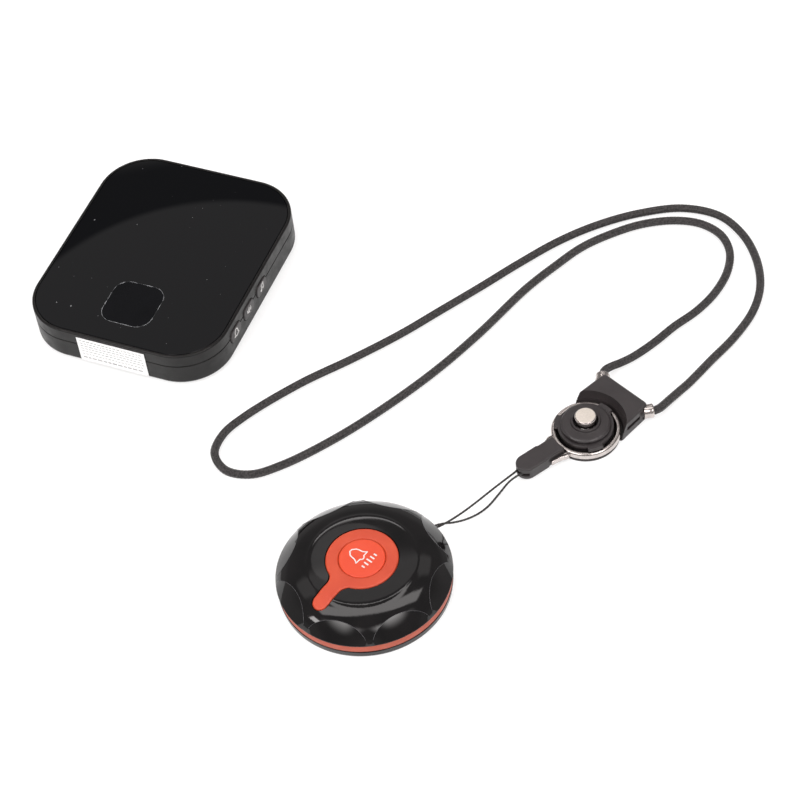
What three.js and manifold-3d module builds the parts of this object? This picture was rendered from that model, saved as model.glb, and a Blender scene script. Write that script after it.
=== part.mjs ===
// Caller set for a carer: a round call button tied to a neck lanyard, and its table receiver.
// Millimetres, +Z up. Every unit lies flat, with its lowest face on z = 0.
// Each unit is modelled in its own upright frame and placed by a group at the end of the file.

import * as THREE from 'three';
import { mergeVertices } from 'three/addons/utils/BufferGeometryUtils.js';
import Module from 'manifold-3d';

const wasm = await Module();
wasm.setup();

// ---------------------------------------------------------------- placement of the units
const CALL_BUTTON = { x: 1.4, y: -89.9, turn: 43.5 };
const BUCKLE = { x: 87.3, y: -36.55, turn: 38 };
const STRAP_TURN = 210;
const RECEIVER = { x: -61.7, y: 67, turn: -27.6 };

// ---------------------------------------------------------------- call button
const CALL_RADIUS = 31.2;
const CALL_CROWN = 15.7;
const ACCENT_LOW = 3.3;
const ACCENT_HIGH = 6.5;
const DOME_LOW = 6.7;
const SURROUND_RADIUS = 12.8;
const TAIL_WIDTH = 5.8;
const TAIL_REACH = 24.7;
const KEY_RADIUS = 8.0;
const KEY_OPENING = 8.4;
const FACET_COUNT = 8;
const FACET_POINT = { radius: 30.2, height: 7.8 };
const FACET_TILT = 42;
const STRAP_SLOT_TURN = -10;
const PART_GAP = 0.3;

// ---------------------------------------------------------------- lanyard buckle
const HUB_RADIUS = 10.2;
const RING_INNER = 10.8;
const RING_OUTER = 12.8;
const RING_LOW = 1.2;
const RING_HIGH = 4.2;
const BUCKLE_SPLIT = 4.0;
const BUCKLE_TOP = 7.6;
const BUTTON_RADIUS = 3.95;
const BUTTON_TOP = 11.3;
const STRAP_LENGTH = 31.1;
const STRAP_WIDTH = 7.8;
const STRAP_LOW = 0.9;
const STRAP_HIGH = 6.3;
const STRAP_PIN_AT = 28.0;
const STRAP_PIN_RADIUS = 0.8;
const FERRULE_AT = { x: 20.4, y: 11.0, z: 4.2, splay: 38 };
const FERRULE_RADIUS = 2.7;
const NECK_CORD = 3.2;
const TETHER = 0.8;

// ---------------------------------------------------------------- receiver
const CASE_WIDTH = 81;
const CASE_LENGTH = 95;
const CASE_CORNER = 19.5;
const CASE_LOW = 0.6;
const CASE_SPLIT = 10.3;
const CASE_TOP = 16;
const CASE_WALL = 2.2;
const PANEL_INSET = 1.2;
const WINDOW_SIZE = 21;
const WINDOW_CORNER = 6;
const WINDOW_Y = -27;
const SIDE_KEY_PITCH = 12;
const SIDE_KEY_MIDDLE = -11.2;
const SIDE_KEY_LENGTH = 8.6;
const SIDE_KEY_LOW = 6.9;
const SIDE_KEY_HIGH = 12.5;

// ---------------------------------------------------------------- materials
const finish = (color, roughness, metalness = 0) =>
  new THREE.MeshStandardMaterial({ color, roughness, metalness });

const glossBlack = finish(0x15161a, 0.12);
const mattBlack = finish(0x2b2a2c, 0.55);
const panelBlack = finish(0x101114, 0.06);
const windowBlack = finish(0x08090b, 0.1);
const orange = finish(0xe9502b, 0.4);
const chrome = finish(0xd9d5d2, 0.12, 1);
const steel = finish(0xb9b6b1, 0.3, 1);
const cordBlack = finish(0x242325, 0.9);
const rubber = finish(0x1c1c1d, 0.8);
const boardGreen = finish(0x1f5a36, 0.5);
const switchGrey = finish(0x8d8f92, 0.5);
const copper = finish(0xb8713a, 0.3, 1);
const labelWhite = finish(0xf2f2f0, 0.7);
const cellSilver = finish(0xc9cacc, 0.3, 1);
const pouchGrey = finish(0x9fa3a8, 0.4, 0.6);
const diffuserWhite = finish(0xe8e8e6, 0.5);
const coneGrey = finish(0x3b3b3d, 0.8);

// ---------------------------------------------------------------- shape helpers
const radians = THREE.MathUtils.degToRad;

// A closed geometry with shared vertices, no sliver triangles, and its faces pointing out.
function closed(geometry) {
  const bare = geometry.clone();
  bare.deleteAttribute('normal');
  bare.deleteAttribute('uv');
  const merged = mergeVertices(bare, 1e-4);
  const position = merged.attributes.position;
  const index = Array.from(merged.index.array);
  const faces = [];
  const a = new THREE.Vector3();
  const b = new THREE.Vector3();
  const c = new THREE.Vector3();
  let volume = 0;
  for (let i = 0; i < index.length; i += 3) {
    const [p, q, r] = index.slice(i, i + 3);
    if (p === q || q === r || r === p) continue;
    a.fromBufferAttribute(position, p);
    b.fromBufferAttribute(position, q);
    c.fromBufferAttribute(position, r);
    volume += a.dot(b.cross(c));
    faces.push([p, q, r]);
  }
  const ordered = volume < 0 ? faces.map(([p, q, r]) => [p, r, q]) : faces;
  merged.setIndex(ordered.flat());
  return merged;
}

function solid(geometry) {
  const shape = closed(geometry);
  return new wasm.Manifold(new wasm.Mesh({
    numProp: 3,
    vertProperties: new Float32Array(shape.attributes.position.array),
    triVerts: new Uint32Array(shape.index.array),
  }));
}

function geometryOf(manifold) {
  const mesh = manifold.getMesh();
  const geometry = new THREE.BufferGeometry();
  geometry.setAttribute('position', new THREE.BufferAttribute(new Float32Array(mesh.vertProperties), 3));
  geometry.setIndex(Array.from(mesh.triVerts));
  geometry.computeVertexNormals();
  return geometry;
}

// Turns a profile of [radius, height] points about the Z axis.
function turned(profile, segments = 20) {
  const points = profile.map(([radius, height]) => new THREE.Vector2(radius, height));
  return new THREE.LatheGeometry(points, segments).rotateX(Math.PI / 2);
}

// A turned ring or tube, whose profile closes on itself.
function turnedRing(profile, segments = 20) {
  return turned([...profile, profile[0]], segments);
}

// A flat-ended tube between two heights.
function tube(inner, outer, low, high, segments = 24) {
  return turnedRing([[inner, low], [outer, low], [outer, high], [inner, high]], segments);
}

// A flat-ended cylinder between two heights.
function post(radius, low, high, segments = 16) {
  return turned([[0, low], [radius, low], [radius, high], [0, high]], segments);
}

// A plan outline raised between two heights, with its edges rounded by `edge`.
function slab(shape, low, high, edge = 0, curveSegments = 5, bevelSegments = 2) {
  const geometry = new THREE.ExtrudeGeometry(shape, {
    depth: high - low - 2 * edge,
    curveSegments,
    bevelEnabled: edge > 0,
    bevelThickness: edge,
    bevelSize: edge,
    bevelOffset: -edge,
    bevelSegments,
  });
  return geometry.translate(0, 0, low + edge);
}

function block(x, y, z, width, length, height) {
  return new THREE.BoxGeometry(width, length, height).translate(x, y, z);
}

function roundedRectangle(width, length, radius) {
  const x = width / 2 - radius;
  const y = length / 2 - radius;
  const shape = new THREE.Shape();
  shape.absarc(x, y, radius, 0, Math.PI / 2);
  shape.absarc(-x, y, radius, Math.PI / 2, Math.PI);
  shape.absarc(-x, -y, radius, Math.PI, 1.5 * Math.PI);
  shape.absarc(x, -y, radius, 1.5 * Math.PI, 2 * Math.PI);
  shape.closePath();
  return shape;
}

// An outline through [x, y, softness] corners; each corner is eased over its own softness.
function softOutline(corners) {
  const shape = new THREE.Shape();
  corners.forEach(([x, y, softness], i) => {
    const corner = new THREE.Vector2(x, y);
    const before = new THREE.Vector2(...corners.at(i - 1).slice(0, 2));
    const after = new THREE.Vector2(...corners[(i + 1) % corners.length].slice(0, 2));
    const start = before.sub(corner).setLength(softness).add(corner);
    const end = after.sub(corner).setLength(softness).add(corner);
    if (i === 0) shape.moveTo(start.x, start.y);
    else shape.lineTo(start.x, start.y);
    shape.quadraticCurveTo(x, y, end.x, end.y);
  });
  shape.closePath();
  return shape;
}

function regularSection(diameter, sides) {
  const shape = new THREE.Shape();
  for (let i = 0; i < sides; i += 1) {
    const angle = (2 * Math.PI * i) / sides;
    const x = (diameter / 2) * Math.cos(angle);
    const y = (diameter / 2) * Math.sin(angle);
    if (i === 0) shape.moveTo(x, y);
    else shape.lineTo(x, y);
  }
  shape.closePath();
  return shape;
}

function cordAlong(points, diameter, steps, sides = 8) {
  const route = new THREE.CatmullRomCurve3(points.map((p) =>
    new THREE.Vector3(...p)), false, 'centripetal');
  return new THREE.ExtrudeGeometry(regularSection(diameter, sides), {
    steps, extrudePath: route, bevelEnabled: false });
}

function coilSpring(radius, wire, low, high, turns) {
  const stations = turns * 8;
  const points = [];
  for (let i = 0; i <= stations; i += 1) {
    const angle = (2 * Math.PI * turns * i) / stations;
    points.push([radius * Math.cos(angle), radius * Math.sin(angle), low + ((high - low) * i) / stations]);
  }
  return cordAlong(points, wire, turns * 8, 8);
}

// A screw that enters from below: a domed head with its shank above.
function screw(headRadius, shankRadius, low, headHeight, high) {
  return turned([
    [0, low],
    [headRadius * 0.8, low],
    [headRadius, low + headHeight * 0.5],
    [headRadius, low + headHeight],
    [shankRadius, low + headHeight],
    [shankRadius, high],
    [0, high],
  ], 10);
}

const shiftedBy = (geometry, x, y, z = 0) => geometry.clone().translate(x, y, z);
const polar = (radius, degrees) =>
  [radius * Math.cos(radians(degrees)), radius * Math.sin(radians(degrees))];

function place(group, name, geometry, material) {
  const mesh = new THREE.Mesh(geometry.index ? geometry : closed(geometry), material);
  mesh.name = name;
  group.add(mesh);
}

// Adds a piece made by joining and cutting solids.
function placeSolid(group, name, manifold, material) {
  place(group, name, geometryOf(manifold), material);
}

// Adds a piece whose geometry needs no cut.
function placePlain(group, name, geometry, material) {
  place(group, name, closed(geometry), material);
}

function unitGroup({ x, y, turn }) {
  const group = new THREE.Group();
  group.position.set(x, y, 0);
  group.rotation.z = radians(turn);
  return group;
}

// ================================================================ call button
// The orange tail points to -X; the tether's slot is on the far side, a little off the axis.
const callButton = unitGroup(CALL_BUTTON);

// The dome's outer skin from its crown to its rim, and its inner skin back to the crown.
const domeOuter = [
  [0, CALL_CROWN], [14.6, 15.4], [19.2, 15.0], [20.4, 14.5], [24.4, 13.4], [27.8, 11.6],
  [30.2, 9.3], [CALL_RADIUS, 7.5], [31.0, DOME_LOW],
];
const domeInner = [
  [27.2, DOME_LOW], [26.6, 8.4], [23.6, 10.9], [19.0, 12.6], [0, 13.6],
];

// The orange surround: a disc that runs out into a round-ended tail, eased where they join.
function surroundOutline(extra) {
  const radius = SURROUND_RADIUS + extra;
  const half = TAIL_WIDTH / 2 + extra;
  const joint = Math.asin((half + 1.6) / radius);
  const capCentre = -(TAIL_REACH - TAIL_WIDTH / 2);
  const shape = new THREE.Shape();
  shape.absarc(0, 0, radius, -Math.PI + joint, Math.PI - joint);
  shape.quadraticCurveTo(-radius * Math.cos(joint) - 1.6, half, -radius - 2.6, half);
  shape.absarc(capCentre, 0, half, Math.PI / 2, 1.5 * Math.PI);
  shape.lineTo(-radius - 2.6, -half);
  shape.quadraticCurveTo(-radius * Math.cos(joint) - 1.6, -half,
    -radius * Math.cos(joint), -radius * Math.sin(joint));
  return shape;
}

// Eight shallow flats round the dome's side, four on each side of the strap and the tail.
const facetCutters = Array.from({ length: FACET_COUNT }, (_, i) => {
  const cutter = new THREE.BoxGeometry(12, 40, 40).translate(6, 0, 0);
  cutter.rotateY(radians(-FACET_TILT));
  cutter.translate(FACET_POINT.radius, 0, FACET_POINT.height);
  cutter.rotateZ(radians((360 / FACET_COUNT) * (i + 0.5)));
  return solid(cutter);
});

let topShell = solid(turned([...domeOuter, ...domeInner], 56));
for (const cutter of facetCutters) topShell = topShell.subtract(cutter);
topShell = topShell.subtract(solid(slab(surroundOutline(PART_GAP), 10, 20, 0, 7)));
placeSolid(callButton, 'call_top_shell', topShell, glossBlack);

// The surround follows the dome, so it is the dome's skin cut to the surround's outline.
const skin = solid(turned([
  [0, 15.85], [14.6, 15.5], [19.2, 15.1], [20.4, 14.6], [25.4, 13.1], [24.9, 11.2], [19.2, 12.8], [0, 13.9],
], 40));
placeSolid(callButton, 'call_key_surround',
  skin.intersect(solid(slab(surroundOutline(0), 10, 20, 0, 7)))
    .subtract(solid(post(KEY_OPENING, 10, 20, 24))),
  orange);

placePlain(callButton, 'call_key', turned([
  [0, 11.1], [2.0, 11.1], [2.0, 13.9], [KEY_RADIUS, 13.9], [KEY_RADIUS, 15.6], [7.2, 15.9], [0, 16.0],
], 24), orange);

// The tether passes through a slot in the accent ring and is held by a bar just inside it.
const strapSlot = block(29, 0, 4.9, 6, 6, 1.8).rotateZ(radians(STRAP_SLOT_TURN));
placeSolid(callButton, 'call_accent_ring', solid(turnedRing([
  [27.4, ACCENT_LOW], [30.7, ACCENT_LOW], [30.85, 4.9], [30.7, ACCENT_HIGH], [27.4, ACCENT_HIGH],
], 48)).subtract(solid(strapSlot)), orange);

const SHELL_SCREW_RING = 22;
const BATTERY_DOOR_RADIUS = 12.4;
let bottomShell = solid(turned([
  [0, 0], [28.8, 0], [30.2, 0.6], [30.9, 3.1], [28.4, 3.1], [27.6, 1.7], [0, 1.7],
], 48)).subtract(solid(post(BATTERY_DOOR_RADIUS + PART_GAP, -1, 3, 24)));
for (let i = 0; i < 3; i += 1) {
  const [x, y] = polar(SHELL_SCREW_RING, 60 + 120 * i);
  bottomShell = bottomShell
    .subtract(solid(shiftedBy(post(2.2, -1, 0.95, 12), x, y)))
    .subtract(solid(shiftedBy(post(1.2, 0, 3, 10), x, y)));
  placePlain(callButton, `shell_screw_${i + 1}`, shiftedBy(screw(1.9, 0.9, 0.15, 0.6, 5.4), x, y), steel);
}
placeSolid(callButton, 'call_bottom_shell', bottomShell, glossBlack);

placeSolid(callButton, 'battery_door', solid(post(BATTERY_DOOR_RADIUS, 0, 1.5, 24))
  .subtract(solid(block(0, 0, 0, 11, 1.6, 1.2))), mattBlack);
placePlain(callButton, 'coin_cell', turned([
  [0, 1.9], [8.6, 1.9], [8.6, 2.4], [10, 2.4], [10, 4.8], [9.7, 5.1], [0, 5.1],
], 20), cellSilver);
placePlain(callButton, 'battery_contact', slab(softOutline([
  [-9, -2, 0.8], [9, -2, 0.8], [9, 2, 0.8], [-9, 2, 0.8],
]), 5.3, 5.6), steel);
placePlain(callButton, 'call_board', post(23.4, 5.8, 6.8, 24), boardGreen);
placeSolid(callButton, 'switch_body', solid(block(0, 0, 8.4, 6, 6, 2.8))
  .subtract(solid(post(1.9, 7.5, 12, 16))), switchGrey);
placePlain(callButton, 'switch_plunger', post(1.5, 8.6, 10.9, 16), switchGrey);
placePlain(callButton, 'antenna_coil', tube(20.4, 22.0, 7.1, 7.9, 24), copper);
placePlain(callButton, 'call_led', shiftedBy(turned([
  [0, 7.2], [1.5, 7.2], [1.5, 8.9], [1.0, 9.8], [0, 10.2],
], 16), -17, 0), diffuserWhite);
placePlain(callButton, 'seal_ring', new THREE.TorusGeometry(25.9, 0.55, 5, 28)
  .translate(0, 0, 7.5), rubber);
placePlain(callButton, 'strap_bar',
  shiftedBy(post(0.8, 1.9, 6.7, 12), ...polar(25.3, STRAP_SLOT_TURN)), steel);

// ================================================================ buckle
// The neck cord's side is +X; the release button stands on the hub at the origin.
const buckle = unitGroup(BUCKLE);

const bodyOutline = softOutline([
  [5.9, 11.9, 1.7], [9.6, 11.5, 1.4], [21.6, 10.9, 2.0],
  [21.6, -10.9, 2.0], [9.6, -11.5, 1.4], [5.9, -11.9, 1.7],
]);
const ringRecess = solid(turned([
  [0, 0.95], [13.4, 0.95], [13.6, 3.0], [15.0, BUCKLE_TOP + 0.5], [0, BUCKLE_TOP + 0.5],
], 32));

// Rotates a geometry made along +Z so that it points out of the buckle's outer corner.
function alongFerrule(geometry, side) {
  return geometry.clone()
    .rotateY(Math.PI / 2)
    .rotateZ(radians(side * FERRULE_AT.splay))
    .translate(FERRULE_AT.x, side * FERRULE_AT.y, FERRULE_AT.z);
}

const bothSides = [1, -1];
const ferruleSeats = bothSides.map((side) =>
  solid(alongFerrule(post(FERRULE_RADIUS + PART_GAP, -1.6, 8, 12), side)));
const cordChannels = bothSides.map((side) => solid(alongFerrule(post(2.0, -5.5, 2, 10), side)));
const sideGrooves = bothSides.map((side) =>
  solid(block(13.2, side * 11.6, BUCKLE_SPLIT + 0.1, 7, 2.2, 1.8)));

function fittedToCord(body) {
  let cut = body.subtract(ringRecess);
  for (const piece of [...ferruleSeats, ...cordChannels, ...sideGrooves]) cut = cut.subtract(piece);
  return cut;
}

const basePlate = solid(post(12.4, 0, 0.9, 32));
const BUCKLE_SCREW = { x: 17.2, y: 3.6 };
const screwHoles = bothSides.map((side) => {
  const head = shiftedBy(post(1.9, -1, 1.2, 12), BUCKLE_SCREW.x, side * BUCKLE_SCREW.y);
  const shank = shiftedBy(post(1.1, 0, 6.2, 10), BUCKLE_SCREW.x, side * BUCKLE_SCREW.y);
  return solid(head).add(solid(shank));
});

let buckleLower = fittedToCord(solid(slab(bodyOutline, 0, 12, 0.6))
  .subtract(solid(block(10, 0, BUCKLE_SPLIT + 10, 60, 60, 20)))).add(basePlate);
let buckleUpper = fittedToCord(solid(slab(bodyOutline, -4, BUCKLE_TOP, 0.9))
  .subtract(solid(block(10, 0, BUCKLE_SPLIT + 0.2 - 10, 60, 60, 20))));
for (const hole of screwHoles) {
  buckleLower = buckleLower.subtract(hole);
  buckleUpper = buckleUpper.subtract(hole);
}
placeSolid(buckle, 'buckle_lower', buckleLower, mattBlack);
placeSolid(buckle, 'buckle_upper', buckleUpper, mattBlack);
[1, -1].forEach((side) => placePlain(buckle, side > 0 ? 'buckle_screw_left' : 'buckle_screw_right',
  shiftedBy(screw(1.6, 0.8, 0.2, 0.7, 5.9), BUCKLE_SCREW.x, side * BUCKLE_SCREW.y), steel));

const ferruleProfile = [
  [1.85, -1.2], [FERRULE_RADIUS - 0.3, -1.2], [FERRULE_RADIUS, -0.9], [FERRULE_RADIUS, 2.3],
  [FERRULE_RADIUS - 0.3, 2.6], [1.85, 2.6],
];
[1, -1].forEach((side) => placePlain(buckle, side > 0 ? 'cord_ferrule_left' : 'cord_ferrule_right',
  alongFerrule(turnedRing(ferruleProfile, 16), side), chrome));

placePlain(buckle, 'hub_body', tube(2.7, 9.0, 1.2, 4.2, 24), mattBlack);

// Three lugs stand out over the ring and hold it down.
const LUG_ANGLES = [2, 122, 242];
let lugPlate = solid(tube(4.0, HUB_RADIUS, 4.5, 6.0, 24));
for (const angle of LUG_ANGLES) {
  const lug = block(9.6, 0, 5.25, 4.0, 5.6, 1.5).rotateZ(radians(angle));
  lugPlate = lugPlate.add(solid(lug).intersect(solid(post(11.7, 4, 7, 24))));
}
placeSolid(buckle, 'latch_lugs', lugPlate, mattBlack);

placePlain(buckle, 'hub_cap', turnedRing([
  [4.6, 6.2], [8.8, 6.2], [9.2, 6.6], [9.2, 7.0], [8.4, 7.7], [5.4, 7.9], [5.4, 8.8], [4.6, 8.8],
], 24), mattBlack);

placePlain(buckle, 'release_button', turned([
  [0, 1.9], [2.2, 1.9], [2.2, 8.2], [BUTTON_RADIUS, 8.2],
  [BUTTON_RADIUS, 10.8], [3.6, BUTTON_TOP], [0, BUTTON_TOP],
], 20), chrome);
placePlain(buckle, 'release_spring', coilSpring(3.1, 0.5, 4.7, 7.8, 3), steel);

// ---------------------------------------------------------------- swivel ring and strap end
// The strap end lies along +X of this group, which turns about the hub.
const strap = unitGroup({ ...BUCKLE, turn: STRAP_TURN });

const ringBand = solid(turnedRing([
  [RING_INNER, 1.9], [11.8, RING_LOW], [RING_OUTER, 1.9],
  [RING_OUTER, 3.5], [11.8, RING_HIGH], [RING_INNER, 3.5],
], 40));
function ringArm(side) {
  const outline = softOutline([
    [10.6, side * 5.4, 0.2], [13.2, side * 5.9, 0.9], [15.2, side * 4.8, 0.8], [19.2, side * 4.6, 0.3],
    [19.2, side * 3.8, 0.3], [13.0, side * 3.8, 0.3],
  ]);
  return solid(slab(outline, 1.9, 3.9)).subtract(solid(post(11.8, 0, 6, 48)));
}
placeSolid(strap, 'swivel_ring', ringBand.add(ringArm(1)).add(ringArm(-1)), chrome);

const half = STRAP_WIDTH / 2;
const strapOutline = new THREE.Shape();
strapOutline.moveTo(12.0, -3.5);
strapOutline.lineTo(19.5, -3.5);
strapOutline.lineTo(20.4, -half);
strapOutline.absarc(STRAP_LENGTH - half, 0, half, -Math.PI / 2, Math.PI / 2);
strapOutline.lineTo(20.4, half);
strapOutline.lineTo(19.5, 3.5);
strapOutline.lineTo(12.0, 3.5);
strapOutline.closePath();
placeSolid(strap, 'strap_tab', solid(slab(strapOutline, STRAP_LOW, STRAP_HIGH, 0.6, 5))
  .subtract(solid(post(13.2, 0, 8, 32)))
  .subtract(solid(block(30.6, 0, 3.5, 10.4, 12, 1.7)))
  .subtract(solid(shiftedBy(post(STRAP_PIN_RADIUS + PART_GAP, -1, 5.6, 12), STRAP_PIN_AT, 0))), mattBlack);
placePlain(strap, 'strap_pin', shiftedBy(post(STRAP_PIN_RADIUS, 1.1, 5.3, 12), STRAP_PIN_AT, 0), steel);

// ================================================================ cords, in the set's own frame
const NECK_CORD_ROUTE = [
  [95.6, -19.4, 4.2], [96.2, -16.8, 4.2], [96.9, -14.2, 4.2], [97.3, -12.4, 4.2],
  [98.6, -10.1, 3.8], [101, -8.3, 3.1], [104.4, -6.6, 2.3], [109.8, -3.9, 1.75], [118.6, 1.6, 1.7],
  [127.2, 8.1, 1.7], [137.2, 14.6, 1.7], [145.7, 22.6, 1.7], [152.2, 32.6, 1.7], [154.8, 42.6, 1.7],
  [153, 51.6, 1.7], [146.7, 58.6, 1.7], [137.2, 62.2, 1.7], [124.2, 62.6, 1.7], [110.2, 59.2, 1.7],
  [99.2, 54.6, 1.7], [88.2, 47.1, 1.7], [75.2, 37.1, 1.7], [55.2, 18.1, 1.7], [38.2, 3.6, 1.7],
  [20.2, -9.4, 1.7], [-2.8, -23.4, 1.7], [-23.8, -32.9, 1.7], [-35.8, -35.4, 1.7],
  [-44.8, -31.9, 1.7], [-48.4, -23.4, 1.7], [-44.8, -14.9, 1.7], [-36.8, -8, 1.7],
  [-14.8, 4.6, 1.7], [6.2, 13.6, 1.7], [25.2, 22.6, 1.7], [41.2, 31.6, 1.7], [58.2, 41.2, 1.7],
  [74.2, 50.6, 1.7], [91.2, 59.6, 1.7], [107.2, 65.4, 1.7], [124.2, 68.6, 1.7], [141.2, 68.2, 1.7],
  [154.2, 61.8, 1.7], [161.2, 50.6, 1.7], [164, 36.6, 1.7], [162.8, 22.6, 1.7], [157.7, 10.6, 1.7],
  [148.2, -1.2, 1.7], [138.2, -10.4, 1.7], [128.2, -19.8, 1.7], [123.8, -23.4, 1.8],
  [120, -26.8, 2.3], [117.4, -29.4, 3], [115.2, -31.6, 3.8], [113.1, -32.7, 4.2],
  [111.3, -32.7, 4.2], [108.6, -32.7, 4.2], [105.9, -32.7, 4.2],
];
// The tether leaves the call button, passes round the strap end's pin and comes back slack.
const TETHER_ROUTE = [
  [24.2, -75.6, 4.9], [26, -74.5, 4.9], [28.1, -73.2, 4.9], [30.4, -71.9, 4.4], [33.8, -69.7, 3.7],
  [38.2, -66.6, 3], [43, -63.1, 2.7], [51.4, -57.2, 3.1], [56.2, -54, 3.4], [59.4, -51.8, 3.5],
  [62.4, -49.2, 3.5], [64.1, -49.4, 3.5], [64.7, -50.8, 3.5], [63.8, -52.1, 3.5], [60, -53.5, 3.3],
  [56.6, -55, 2.2], [52.3, -58.9, 0.9], [47.9, -63.4, 0.6], [43.8, -66.2, 0.6], [39, -68.4, 1.2],
  [34.6, -69.8, 2.3], [30.8, -70.9, 3.9], [27.4, -72.2, 4.8], [25.3, -73.5, 4.9],
  [23.4, -74.7, 4.9],
];
const cords = new THREE.Group();
placePlain(cords, 'neck_cord', cordAlong(NECK_CORD_ROUTE, NECK_CORD, 106), cordBlack);
placePlain(cords, 'tether_cord', cordAlong(TETHER_ROUTE, TETHER, 76), cordBlack);

// ================================================================ receiver
// Its front, with the label, is -Y; the three side keys are on +X.
const receiver = unitGroup(RECEIVER);

const caseOutline = (inset) => roundedRectangle(
  CASE_WIDTH - 2 * inset, CASE_LENGTH - 2 * inset, CASE_CORNER - inset);
const halfWidth = CASE_WIDTH / 2;
const keyPositions = [1, 0, -1].map((i) => SIDE_KEY_MIDDLE + i * SIDE_KEY_PITCH);

function sideKeyOutline(extra) {
  const height = SIDE_KEY_HIGH - SIDE_KEY_LOW;
  return roundedRectangle(SIDE_KEY_LENGTH + 2 * extra, height + 2 * extra, 2.0 + extra);
}
// Stands a plan outline up so that it faces +X, centred on a side key.
function facingRight(shape, y, from, to, edge = 0) {
  return slab(shape, from, to, edge, 3, 1)
    .rotateX(Math.PI / 2).rotateZ(Math.PI / 2)
    .translate(0, y, (SIDE_KEY_LOW + SIDE_KEY_HIGH) / 2);
}
const keyOpenings = keyPositions.map((y) =>
  solid(facingRight(sideKeyOutline(PART_GAP), y, halfWidth - 5, halfWidth + 2)));

let upperCase = solid(slab(caseOutline(0), 4, CASE_TOP, 0.7, 4))
  .subtract(solid(block(0, 0, CASE_SPLIT + 0.1 - 20, 200, 200, 40)))
  .subtract(solid(slab(caseOutline(CASE_WALL), 0, 13.4, 0, 4)))
  .subtract(solid(slab(caseOutline(4.6), 0, 20, 0, 4)))
  .subtract(solid(slab(caseOutline(PANEL_INSET), 14.5, 20, 0, 4)));
let lowerCase = solid(slab(caseOutline(0), CASE_LOW, 24, 1.8, 4))
  .subtract(solid(block(0, 0, CASE_SPLIT - 0.1 + 20, 200, 200, 40)))
  .subtract(solid(slab(caseOutline(CASE_WALL), 2.8, 20, 0, 4)));
for (const opening of keyOpenings) {
  upperCase = upperCase.subtract(opening);
  lowerCase = lowerCase.subtract(opening);
}

const FOOT_AT = { x: 25, y: 31 };
const CASE_SCREW_AT = { x: 31, y: 22 };
const corners = [[-1, -1], [1, -1], [1, 1], [-1, 1]];
corners.forEach(([sideX, sideY], i) => {
  const foot = [sideX * FOOT_AT.x, sideY * FOOT_AT.y];
  const screwAt = [sideX * CASE_SCREW_AT.x, sideY * CASE_SCREW_AT.y];
  lowerCase = lowerCase
    .subtract(solid(shiftedBy(post(4.8, -1, 1.5, 16), ...foot)))
    .subtract(solid(shiftedBy(post(2.9, -1, 1.6, 12), ...screwAt)))
    .subtract(solid(shiftedBy(post(1.5, 0, 4, 10), ...screwAt)));
  placePlain(receiver, `foot_${i + 1}`, shiftedBy(turned([
    [0, 0], [3.9, 0], [4.4, 0.4], [4.4, 1.3], [0, 1.3],
  ], 16), ...foot), rubber);
  placePlain(receiver, `case_screw_${i + 1}`, shiftedBy(screw(2.5, 1.1, 0.7, 0.7, 9.6), ...screwAt), steel);
});
placeSolid(receiver, 'receiver_upper_case', upperCase, mattBlack);
placeSolid(receiver, 'receiver_lower_case', lowerCase, mattBlack);

const windowOutline = (inset) => roundedRectangle(
  WINDOW_SIZE - 2 * inset, WINDOW_SIZE - 2 * inset, WINDOW_CORNER - inset);
placeSolid(receiver, 'top_panel', solid(slab(caseOutline(PANEL_INSET + 0.2), 14.7, 15.9, 0, 4))
  .subtract(solid(slab(windowOutline(0), 10, 20, 0, 5).translate(0, WINDOW_Y, 0))), panelBlack);
placePlain(receiver, 'window_lens', slab(windowOutline(0.2), 14.7, 15.85, 0, 5)
  .translate(0, WINDOW_Y, 0), windowBlack);
placePlain(receiver, 'light_diffuser', slab(roundedRectangle(18, 18, 4), 11.0, 14.3, 0, 4)
  .translate(0, WINDOW_Y, 0), diffuserWhite);

const keyNames = ['key_melody', 'key_volume', 'key_alert'];
keyPositions.forEach((y, i) => {
  const cap = facingRight(sideKeyOutline(0), y, halfWidth - 2.6, halfWidth + 0.5, 0.5);
  placePlain(receiver, keyNames[i], cap, mattBlack);
  placePlain(receiver, `key_switch_${i + 1}`, block(halfWidth - 5.4, y, 9.4, 3.6, 6, 3.6), switchGrey);
});

const BOARD_WIDTH = 58;
const BOARD_LENGTH = 62;
let receiverBoard = solid(slab(softOutline([
  [-BOARD_WIDTH / 2, -BOARD_LENGTH / 2, 2], [BOARD_WIDTH / 2 + 6, -BOARD_LENGTH / 2, 2],
  [BOARD_WIDTH / 2 + 6, BOARD_LENGTH / 2, 2], [-BOARD_WIDTH / 2, BOARD_LENGTH / 2, 2],
]), 6.2, 7.4));
for (const [sideX, sideY] of corners) {
  receiverBoard = receiverBoard.subtract(
    solid(shiftedBy(post(1.6, 5, 9, 10), sideX * CASE_SCREW_AT.x, sideY * CASE_SCREW_AT.y)));
}
placeSolid(receiver, 'receiver_board', receiverBoard, boardGreen);

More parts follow.
